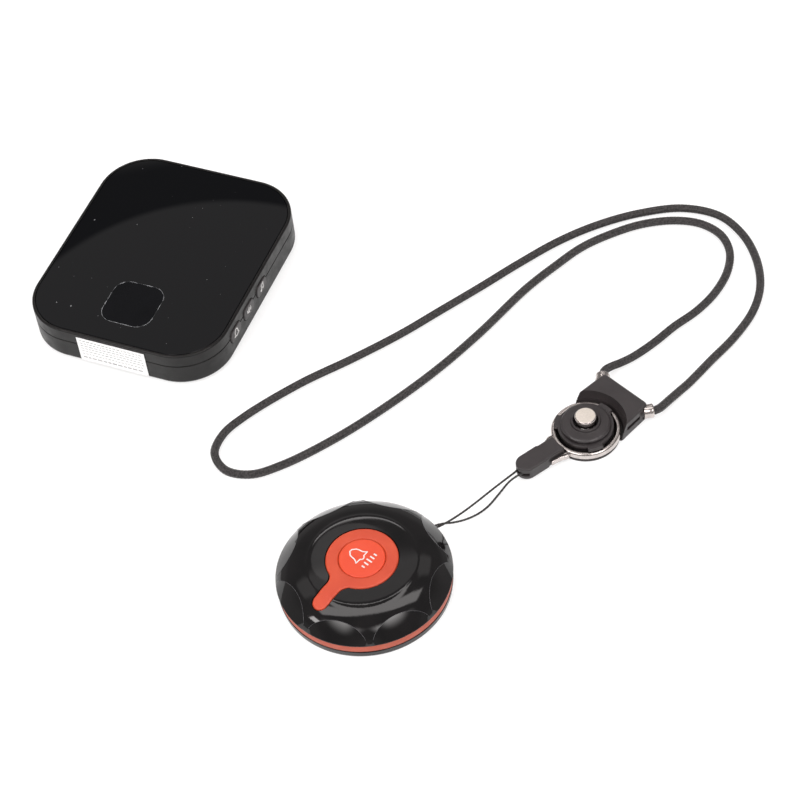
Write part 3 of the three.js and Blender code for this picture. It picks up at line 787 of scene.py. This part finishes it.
def dome_column(angle, reach):
    """One cut through the dome's wall, as ((radius, height), normal) round from the opening.

    The outside follows the dome to the facet's arch, then runs straight to the rim. The last
    points, on the inside, have flat faces and no normal of their own.
    """
    start = dome_station(reach) - DOME_STEP
    start += max(0.0, reach - on_dome(start)[0][0])
    begin = max(start + 0.05, facet_station(angle))
    column = [on_dome(start + (begin - start) * k / CROWN_STEPS) for k in range(CROWN_STEPS + 1)]
    (arch_radius, arch_height), _ = on_dome(begin)
    (rim_radius, rim_height), _ = on_dome(RIM_STATION)
    run = Vector((rim_radius - arch_radius, rim_height - arch_height))
    out = Vector((-run.y, run.x)).normalized()
    bulge = FACET_BULGE * min(1.0, run.length / 8.0)
    for k in range(FACET_STEPS + 1):
        t = k / FACET_STEPS
        lift = bulge * 4 * t * (1 - t)
        spot = (arch_radius + run.x * t + out.x * lift, arch_height + run.y * t + out.y * lift)
        tilt = out - run.normalized() * bulge * 4 * (1 - 2 * t) / max(run.length, 0.01)
        column.append((spot, tuple(tilt.normalized())))
    column.append(((31.12, 6.95), (1.0, -0.1)))
    inner = min(on_dome(start)[0][1] - 1.5, 13.4)
    shoulder = (max(reach, 25.9), min(10.6, inner))
    for spot in ((30.9, 6.7), (28.4, 6.7), (27.2, 9.0), shoulder, (reach, inner)):
        column.append((spot, (0.0, 0.0)))
    return column


def add_dome():
    """The polished dome: a turned wall round the surround's opening, with eight arched facets."""
    opening = surround_outline(0.28)
    angles = {round(atan2(y, x), 5) for x, y in opening}
    for k in range(DOME_COLUMNS):
        angles.add(round(radians(360 * k / DOME_COLUMNS - 180), 5))
    columns = [(angle, dome_column(angle, ray_reach(opening, angle))) for angle in sorted(angles)]
    spin = CALL_BUTTON.to_3x3().normalized()
    points = []
    normals = []
    for angle, column in columns:
        for (radius, height), (across, rise) in column:
            points.append(CALL_BUTTON @ Vector((*polar(radius, angle), height)))
            normals.append((spin @ Vector((*polar(across, angle), rise))).normalized())
    faces = []
    corner_normals = []
    count = len(columns[0][1])
    for i in range(len(columns)):
        j = (i + 1) % len(columns)
        for k in range(count):
            if k == CROWN_STEPS:
                continue
            m = (k + 1) % count
            face = (i * count + k, i * count + m, j * count + m, j * count + k)
            faces.append(face)
            a, b, c, d = (points[corner] for corner in face)
            flat = (c - a).cross(d - b).normalized()
            corner_normals.extend(normals[corner] if k < SMOOTH_ROWS else flat for corner in face)
    mesh = bpy.data.meshes.new("call_dome")
    mesh.from_pydata(points, [], faces)
    mesh.update()
    mesh.shade_smooth()
    mesh.normals_split_custom_set(corner_normals)
    finish_piece(add_object("call_dome", mesh), "call_button", "gloss_black", "call_top_shell")


def add_facet_edges():
    """The fine raised edge along each facet's arch, lighter grey than the dome: a painted
    highlight.
    """
    arches = []
    for facet in range(FACET_COUNT):
        path = []
        for k in range(61):
            middle = 2 * pi / FACET_COUNT * (facet + 0.5)
            angle = middle + FACET_HALF_ANGLE * 0.97 * (k / 30 - 1)
            (radius, height), _ = on_dome(facet_station(angle))
            path.append(Vector((*polar(radius, angle), height)))
        arches.append(tube_along(path, FACET_EDGE, 8))
    obj = mesh_object("call_facet_edges", together(*arches), CALL_BUTTON)
    obj.data.shade_smooth()
    finish_piece(obj, "call_button", "facet_edge_glint")


def add_surround():
    """The orange plate that lies on the dome, with a rounded edge and a lip round the key."""
    def lay(line, drop):
        return [(x, y, dome_height(x, y) + SURROUND_RISE - drop) for x, y in line]

    outline = surround_outline(0.0)
    rings = [lay(outline, 2.0)]
    for inward, drop in rounding(SURROUND_EDGE, 6):
        rings.append(lay(inset(outline, inward), drop))
    inner_edge = inset(outline, SURROUND_EDGE)
    shares = [(k / 12, LIP_TOP_RADIUS, 0.0) for k in range(1, 13)]
    for share, radius, drop in shares + [(1, radius, drop) for radius, drop in KEY_OPENING]:
        line = []
        for x, y in inner_edge:
            reach = hypot(x, y)
            at = reach + (radius - reach) * share
            line.append((x * at / reach, y * at / reach))
        rings.append(lay(line, drop))
    piece("call_surround", skin(rings, loop=True), "call_button", "call_key_surround",
          "signal_orange", angle=50)


def key_top(x, y):
    """Height of the call key's gently crowned top."""
    return 15.93 - 0.0052 * (x * x + y * y)


def on_key(x, y):
    return key_top(x, y) + 0.04


def add_call_key():
    flat_radius = KEY_RADIUS - KEY_EDGE
    profile = [(0, 11.1), (2.0, 11.1), (2.0, 13.9), (KEY_RADIUS, 13.9)]
    profile += [(KEY_RADIUS - inward, key_top(flat_radius, 0) - drop)
                for inward, drop in rounding(KEY_EDGE, 6)]
    profile += [(radius, key_top(radius, 0)) for radius in (6.9, 6, 5, 4, 3, 2, 1, 0)]
    piece("call_key_cap", turned(profile, 120), "call_key", "call_key", "key_orange",
          angle=40)


def bell_line(scale):
    """A plain bell's outline, mouth down, with a clapper bump."""
    line = [(x * scale, y * scale) for x, y in BELL]
    line += [(-x, y) for x, y in reversed(line[1:-1])]
    return eased([(x, y, 0.14 * scale) for x, y in reversed(line)], steps=3)


def add_key_print():
    """A bell over a row of five bars."""
    bell = [(x, y + 2.1) for x, y in bell_line(1.2)]
    marks = [ribbon(bell, 0.42, on_key, closed=True)]
    for i, tall in enumerate((1.3, 1.9, 2.4, 1.9, 1.3)):
        x = 0.6 + (i - 2) * 1.6
        line = [(x, -2.9 - tall / 2), (x, -2.9), (x, -2.9 + tall / 2)]
        marks.append(ribbon(line, 0.55, on_key))
    add_print_or_glint("call_key_print", together(*marks), "call_key", "print_white")


def add_call_rim():
    accent = eased([(27.4, 3.3), (30.72, 3.3, 0.25), (30.85, 4.9, 0.4), (30.72, 6.5, 0.25),
                    (27.4, 6.5)])
    tether_slot = moved(block(29, 0, 4.9, 6, 6, 1.8), Matrix.Rotation(radians(-10), 4, "Z"))
    piece("call_accent", turned(accent, 180, loop=True), "call_button",
          "call_accent_ring", "accent_orange", [tether_slot])
    shell = eased([(12.7, 0, 0.15), (29.8, 0, 0.5), (30.7, 0.5, 0.5), (30.9, 3.1, 0.25),
                   (28.4, 3.1), (27.6, 1.7), (12.7, 1.7)])
    screw_holes = []
    for i in range(3):
        x, y = polar(22, radians(60 + 120 * i))
        screw_holes.append(shifted(post(2.2, -1, 0.95), x, y))
        screw_holes.append(shifted(post(1.2, 0, 3), x, y))
    piece("call_base", turned(shell, 180, loop=True), "call_button", "call_bottom_shell",
          "gloss_black", cuts=screw_holes)


add_dome()
add_facet_edges()
add_surround()
add_call_key()
add_key_print()
add_call_rim()

# ---- buckle, ring and strap end
BODY_OUTLINE = eased([
    (21.6, 10.9, 2.0), (9.6, 11.5, 1.4), (5.9, 11.9, 1.7), (5.9, -11.9, 1.7), (9.6, -11.5, 1.4),
    (21.6, -10.9, 2.0),
], steps=8)
BUCKLE_SPLIT = 4.0
BUCKLE_HIGH = 7.6
FERRULE_AT = (20.4, 11.0, 4.2)
FERRULE_SPLAY = radians(38)
HUB_RADIUS = 10.2
LUG_RADIUS = 11.7
LUG_HALF = 2.8
LUG_ANGLES = (2, 122, 242)
COIL_RADIUS = 3.1
COIL_WIRE = 0.5
COIL_LOW = 4.95
COIL_HIGH = 7.5
COIL_TURNS = 3
COIL_STEPS = 108
STRAP_HALF = 3.9
STRAP_TIP = 31.1


def along_ferrule(shape, side):
    """Lays a shape that was made about Z along the ferrule on one side."""
    place = Matrix.Translation((FERRULE_AT[0], side * FERRULE_AT[1], FERRULE_AT[2]))
    turn = Matrix.Rotation(side * FERRULE_SPLAY, 4, "Z") @ Matrix.Rotation(pi / 2, 4, "Y")
    return moved(shape, place @ turn)


def add_buckle():
    above = BUCKLE_HIGH + 0.5
    recess = eased([(0, 0.95), (13.4, 0.95, 0.1), (13.6, 3.0, 1.0), (15.0, above), (0, above)])
    cuts = [turned(recess, 128)]
    for side in (1, -1):
        cuts.append(along_ferrule(post(3.0, -1.6, 8), side))
        cuts.append(along_ferrule(post(2.0, -5.5, 2), side))
        cuts.append(block(13.2, side * 11.6, BUCKLE_SPLIT + 0.1, 7.0, 2.2, 1.8))
    top = slab(BODY_OUTLINE, BUCKLE_SPLIT + 0.2, BUCKLE_HIGH, 0.0, 0.8, 7)
    piece("buckle_top", top, "lanyard", "buckle_upper", cuts=cuts)
    holes = [shifted(post(1.9, -1, 1.2), 17.2, side * 3.6) for side in (1, -1)]
    base = slab(BODY_OUTLINE, 0, BUCKLE_SPLIT, 0.6, 0.0, 6)
    piece("buckle_base", base, "lanyard", "buckle_lower", cuts=cuts + holes)
    floor = eased([(0, 0), (12.4, 0, 0.3), (12.4, 0.85, 0.3), (0, 0.85)])
    piece("buckle_floor", turned(floor), "lanyard", None)
    sleeve = eased([(1.85, -1.2), (2.4, -1.2, 0.2), (2.7, -0.9, 0.2), (2.55, 0.9, 0.8),
                    (2.7, 2.2, 0.3), (2.4, 2.6, 0.2), (1.85, 2.6, 0.1)])
    for side, word in ((1, "left"), (-1, "right")):
        piece(f"ferrule_{word}", along_ferrule(turned(sleeve, 64, loop=True), side),
              "lanyard", f"cord_ferrule_{word}", "chrome")


def lug_outline():
    """A disc with three square lugs on its rim."""
    line = []
    half_turn = degrees(asin(LUG_HALF / HUB_RADIUS))
    for lug in LUG_ANGLES:
        out = Vector(polar(1, radians(lug)))
        side = Vector((-out.y, out.x))
        for step in range(-4, 5):
            y = LUG_HALF * step / 4
            line.append(tuple(out * sqrt(LUG_RADIUS ** 2 - y * y) + side * y))
        line.extend(arc(0, 0, HUB_RADIUS, lug + half_turn, lug + 120 - half_turn, 24))
    return line


def add_hub():
    core = eased([(2.7, 1.2), (9.0, 1.2, 0.3), (9.0, 4.2, 0.3), (2.7, 4.2)])
    piece("hub_core", turned(core, loop=True), "lanyard", "hub_body")
    piece("hub_lugs", ring_plate(lug_outline(), 4.0, 4.5, 6.0, 0.22), "lanyard",
          "latch_lugs", angle=40)
    cap = eased([(4.6, 6.2), (8.8, 6.2, 0.2), (9.2, 6.6, 0.2), (9.15, 7.1, 0.3),
                 (8.5, 7.65, 0.4), (5.5, 7.9, 0.25), (5.3, 8.8, 0.15), (4.6, 8.8, 0.1)])
    piece("hub_disc", turned(cap, 128, loop=True), "lanyard", "hub_cap", angle=50)
    button = eased([(0, 1.95), (2.2, 1.95), (2.2, 8.2), (3.95, 8.2, 0.2),
                    (3.95, 10.95, 0.25), (3.62, 11.3, 0.12), (0, 11.3)])
    obj = piece("release_button_cap", turned(button), "release", "release_button", "chrome")
    obj.data.materials.append(LOOKS["satin_silver"].material)
    for polygon in obj.data.polygons:
        if polygon.normal.z > 0.98 and polygon.center.z > 11 * MM:
            polygon.material_index = 1


def add_release_coil():
    """The spring under the release button, a coil of wire."""
    path = []
    for k in range(COIL_STEPS + 1):
        share = k / COIL_STEPS
        height = COIL_LOW + (COIL_HIGH - COIL_LOW) * share
        path.append(Vector((*polar(COIL_RADIUS, 2 * pi * COIL_TURNS * share), height)))
    wire = tube_along(path, COIL_WIRE / 2, 12)
    obj = mesh_object("release_coil", wire, BUCKLE)
    obj.data.shade_smooth()
    finish_piece(obj, "lanyard", "steel", "release_spring")
    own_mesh(obj)


def add_ring_and_strap():
    section = eased([
        (10.4, 2.2, 0.5), (11.35, 1.2, 0.4), (12.25, 1.2, 0.4), (12.8, 1.95, 0.35),
        (12.8, 3.45, 0.4), (12.3, 4.2, 0.4), (11.3, 4.2, 0.3), (10.4, 3.5, 0.4),
    ], steps=4)
    shapes = [turned(section, 160, loop=True)]
    arm = [(10.9, 5.2, 0.2), (13.0, 3.8, 0.3), (19.2, 3.8, 0.35), (19.2, 4.6, 0.4),
           (15.2, 4.8, 1.4), (13.0, 6.0, 1.0)]
    for side in (1, -1):
        line = eased([(x, side * y, softness) for x, y, softness in arm])
        shapes.append(slab(line[::side], 1.8, 4.0, 0.35, 0.35, 4))
    piece("ring_and_arms", together(*shapes), "strap", "swivel_ring", "chrome", angle=50)
    line = [(12.0, -3.5), (19.3, -3.5), (20.2, -STRAP_HALF)]
    line += arc(STRAP_TIP - STRAP_HALF, 0, STRAP_HALF, -90, 90, 32)
    line += [(20.2, STRAP_HALF), (19.3, 3.5), (12.0, 3.5)]
    # The tether swings in a fan-shaped slot.
    fan = [(25.4, -2.8), (33.0, -2.8), (33.0, 6.6), (30.0, 6.6), (28.4, 3.2), (25.4, 2.8)]
    cuts = [post(13.2, 0, 8, 128), slab(fan, 2.65, 4.35)]
    strap = slab(line, 0.9, 6.3, 0.5, 0.65, 6)
    piece("strap_end", strap, "strap", "strap_tab", cuts=cuts, angle=38)


add_buckle()
add_hub()
add_release_coil()
add_ring_and_strap()

# ---- receiver
CASE_WIDTH = 81
CASE_LENGTH = 95
CASE_CORNER = 19.5
CASE_SPLIT = 10.3
CASE_GAP = 0.1
CASE_HIGH = 16
CASE_EDGE = 0.65
KEY_ROWS = {"melody": 0.8, "volume": -11.2, "alert": -23.2}
KEY_MIDDLE = 9.7
KEY_FACE = CASE_WIDTH / 2 + 0.5
WINDOW_Y = -27
LABEL_MIDDLE = 8.2


def case_outline(distance):
    return rounded_rectangle(CASE_WIDTH - 2 * distance, CASE_LENGTH - 2 * distance,
                             CASE_CORNER - distance, 20)


def facing_right(shape, y):
    """Stands a plan shape up so that it faces +X at a side key."""
    turn = Matrix(((0, 0, 1, 0), (1, 0, 0, y), (0, 1, 0, KEY_MIDDLE), (0, 0, 0, 1)))
    return moved(shape, turn)


def key_outline(extra):
    return rounded_rectangle(8.6 + 2 * extra, 5.6 + 2 * extra, 2.0 + extra, 8)


def add_case():
    opening = slab(key_outline(0.3), KEY_FACE - 5.5, KEY_FACE + 1.5)
    openings = [facing_right(opening, y) for y in KEY_ROWS.values()]
    split = CASE_SPLIT + CASE_GAP
    upper = [(split + 0.25, 0.0)]
    upper += [(CASE_HIGH - drop, inward) for inward, drop in rounding(CASE_EDGE, 6)]
    upper += [(15.9, 1.18), (14.5, 1.2), (14.5, 4.6), (13.4, 4.6), (13.4, 2.2), (split, 2.2),
              (split, 0.25)]
    piece("case_top", stacked(case_outline, upper, loop=True), "receiver", "receiver_upper_case",
          "case_black", openings)
    split = CASE_SPLIT - CASE_GAP
    lower = edge_levels(0.6, split, 1.8, 0.25, 8) + [(split, 2.2), (2.8, 2.2)]
    cuts = list(openings)
    for side_x, side_y in CORNERS:
        cuts.append(shifted(post(4.8, -1, 1.5), side_x * 25, side_y * 31))
        cuts.append(shifted(post(2.9, -1, 1.6), side_x * 31, side_y * 22))
    piece("case_bottom", stacked(case_outline, lower), "receiver", "receiver_lower_case",
          "case_black", cuts)


def add_panel():
    hole = shifted(slab(rounded_rectangle(21, 21, 6, 14), 10, 20), 0, WINDOW_Y)
    panel = loft(case_outline(1.4), [(14.7, 0.0), (15.78, 0.0), (15.9, 0.12)])
    piece("panel_gloss", panel, "receiver", "top_panel", "panel_black", cuts=[hole])
    lens = loft(rounded_rectangle(20.6, 20.6, 5.8, 14), [(14.7, 0), (15.74, 0), (15.85, 0.12)])
    piece("window_gloss", shifted(lens, 0, WINDOW_Y), "receiver", "window_lens", "window_black")
    # A thin light ribbon round the window's rim: a painted highlight.
    edge = ribbon(rounded_rectangle(20.85, 20.85, 5.95, 14), 0.2, lambda x, y: 15.88, closed=True,
                  thickness=0.2)
    add_print_or_glint("window_rim_highlight", shifted(edge, 0, WINDOW_Y), "receiver", "window_rim_glint")


def key_icon(word):
    """A note, a loudspeaker or a bell, drawn in lines."""
    def drawn(line, width, closed=False):
        return ribbon(line, width, lambda x, y: KEY_FACE + 0.03, closed, thickness=0.1)

    if word == "melody":
        stems = [(-0.55, -0.9), (-0.55, 1.3), (1.15, 1.6), (1.15, -0.5)]
        heads = [arc(-0.95, -0.9, 0.4, 0, 345, 12), arc(0.75, -0.5, 0.4, 0, 345, 12)]
        return together(drawn(stems, 0.52), *[drawn(head, 0.5, True) for head in heads])
    if word == "volume":
        horn = [(-1.6, -0.45), (-0.95, -0.45), (-0.1, -1.15), (-0.1, 1.15), (-0.95, 0.45),
                (-1.6, 0.45)]
        waves = [arc(-0.1, 0, radius, -45, 45, 8) for radius in (0.85, 1.5)]
        return together(drawn(horn, 0.52, True), *[drawn(wave, 0.38) for wave in waves])
    return drawn(bell_line(0.72), 0.48, True)


def add_side_keys():
    for word, y in KEY_ROWS.items():
        cap = facing_right(slab(key_outline(0.0), KEY_FACE - 3.1, KEY_FACE, 0.0, 0.5), y)
        piece(f"side_{word}", cap, f"{word}_key", f"key_{word}", angle=40)
        add_print_or_glint(f"side_{word}_print", facing_right(key_icon(word), y), f"{word}_key",
                  "print_white")


def add_label_print():
    """Generic dashes in place of the label's small print."""
    dashes = []
    # Each row's height on the label, the height of its dashes and their usual width.
    rows = [(5.0, 0.32, 1.0), (3.6, 0.32, 0.8), (2.2, 0.32, 1.3), (0.8, 0.32, 0.9),
            (-0.6, 0.32, 1.1), (-2.2, 0.32, 0.8), (-4.2, 0.6, 1.5)]
    for row, (up, tall, pace) in enumerate(rows):
        x = -13.0
        step = 0
        while x < 12.5:
            width = pace * (0.7 + 0.6 * abs(sin(2.3 * step + 1.7 * row)))
            dashes.append(block(x + width / 2 - 0.7, 0, up, width, 0.03, tall))
            x += width + 0.5
            step += 1
    print_shape = shifted(together(*dashes), 0.7, -CASE_LENGTH / 2 - 0.315, LABEL_MIDDLE)
    add_print_or_glint("label_dashes", print_shape, "receiver", "print_grey")


add_case()
add_panel()
add_side_keys()
add_label_print()

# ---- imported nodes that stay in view
NODES_BY_LOOK = {
    "matt_black": "battery_door",
    "cell": "coin_cell",
    "board": "call_board receiver_board",
    "switch_grey": "switch_body switch_plunger key_switch_1 key_switch_2 key_switch_3",
    "copper": "antenna_coil antenna_spring",
    "diffuser": "call_led light_diffuser",
    "rubber": "seal_ring foot_1 foot_2 foot_3 foot_4",
    "steel": "battery_contact strap_bar strap_pin speaker_frame vibration_motor "
             "buckle_screw_left buckle_screw_right shell_screw_1 shell_screw_2 shell_screw_3 "
             "case_screw_1 case_screw_2 case_screw_3 case_screw_4",
    "cone": "speaker_cone",
    "pouch": "receiver_battery",
    "label": "rating_label",
}
for look, names in NODES_BY_LOOK.items():
    for name in names.split():
        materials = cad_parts[name].data.materials
        materials.clear()
        materials.append(LOOKS[look].material)

# ---- floor, light and surroundings
FLOOR_SIZE = 6.0
FLOOR_GLOW = 0.62
LAMP_AIM = Vector((0.02, 0.0, 0.0))
LAMP_SIZE = 1.6
WALL_GLOW = 0.26
HORIZON_GLOW = 0.12
SKY_TINT = (1.0, 0.965, 0.955, 1.0)
# The disc that the receiver's panel mirrors in its upper left corner.
PANEL_DISC_AXIS = (-0.071, 0.623, 0.779)
PANEL_DISC_GLOW = 0.62
# Each soft box's direction, half width, half height and edge in degrees, then its strength.
SOFT_BOXES = (
    (95, 60, 34, 6, 2, 0.5),
    (92, 41.6, 12, 1.7, 0.7, 3.4),
    (90, 82.5, 30, 6, 1.2, 3.0),
    (-134, 49, 13, 9, 8, 7.0),
    (-57, 52, 14, 9, 8, 9.5),
    (-160, 41, 9, 5, 1, 9.0),
)


def add_floor():
    """White paper that glows a little, so that it stays white under soft light."""
    mesh = bpy.data.meshes.new("floor")
    mesh.from_pydata([(FLOOR_SIZE * x, FLOOR_SIZE * y, 0) for x, y in CORNERS], [], [(0, 1, 2, 3)])
    floor = add_object("floor", mesh)
    floor.location.z = -0.0001
    paint = Surface("floor_paper", 0.9)
    paint.color(paint.noise(3.0), (0.3, grey(0.38)), (0.7, grey(0.41)))
    paint.set(Specular_IOR_Level=0.0, Emission_Color=grey(1), Emission_Strength=FLOOR_GLOW)
    mesh.materials.append(paint.material)


def add_area_light(name, position, power):
    """A soft lamp that lights surfaces; the gloss shows the surroundings instead."""
    data = bpy.data.lights.new(name, "AREA")
    data.shape = "SQUARE"
    data.size = LAMP_SIZE
    data.energy = power
    lamp = add_object(name, data)
    aim = (LAMP_AIM - Vector(position)).to_track_quat("-Z", "Y")
    lamp.matrix_world = Matrix.Translation(position) @ aim.to_matrix().to_4x4()
    lamp.visible_glossy = False


class Surroundings(NodeTree):
    """A studio painted on the sky: plain walls, and soft boxes at chosen directions."""

    def __init__(self):
        world = bpy.data.worlds.new("studio")
        world.use_nodes = True
        bpy.context.scene.world = world
        super().__init__(world.node_tree)
        self.way = self.node("TexCoord", "Generated", {})
        self.total = WALL_GLOW

    def math(self, operation, *values):
        return self.node("Math", "Value", dict(enumerate(values)), operation=operation)

    def along(self, axis):
        """How far the way looked lies along an axis, from -1 to 1."""
        return self.node("VectorMath", "Value", {0: self.way, 1: axis}, operation="DOT_PRODUCT")

    def step(self, value, start, end):
        return self.node("MapRange", "Result", {"Value": value, "From Min": start, "From Max": end},
                         interpolation_type="SMOOTHSTEP")

    def add(self, mask, strength):
        self.total = self.math("ADD", self.total, self.math("MULTIPLY", mask, strength))

    def soft_box(self, azimuth, elevation, half_width, half_height, soft, strength):
        turn = radians(azimuth)
        rise = radians(elevation)
        axis = Vector((*polar(cos(rise), turn), sin(rise)))
        side = Vector((-sin(turn), cos(turn), 0))
        lift = axis.cross(side)
        blur = sin(radians(soft))
        mask = self.step(self.along(axis), 0.2, 0.3)
        for way, half in ((side, half_width), (lift, half_height)):
            reach = sin(radians(half))
            size = self.math("ABSOLUTE", self.along(way))
            mask = self.math("MULTIPLY", mask, self.step(size, reach + blur, reach - blur))
        self.add(mask, strength)


def add_surroundings():
    sky = Surroundings()
    sky.add(sky.step(sky.along((0, 0, 1)), 0.42, 0.22), HORIZON_GLOW)
    sky.add(sky.step(sky.along(PANEL_DISC_AXIS), 0.9936, 0.9939), PANEL_DISC_GLOW)
    for box in SOFT_BOXES:
        sky.soft_box(*box)
    background = sky.nodes["Background"]
    background.inputs["Color"].default_value = SKY_TINT
    sky.links.new(sky.total, background.inputs["Strength"])


add_floor()
add_area_light("key_light", (-0.9, -0.5, 1.6), 10)
add_area_light("fill_light", (1.1, -0.3, 1.4), 7)
add_area_light("back_light", (0.1, 1.2, 1.5), 7.5)
add_surroundings()
bpy.context.scene.view_settings.view_transform = "Standard"
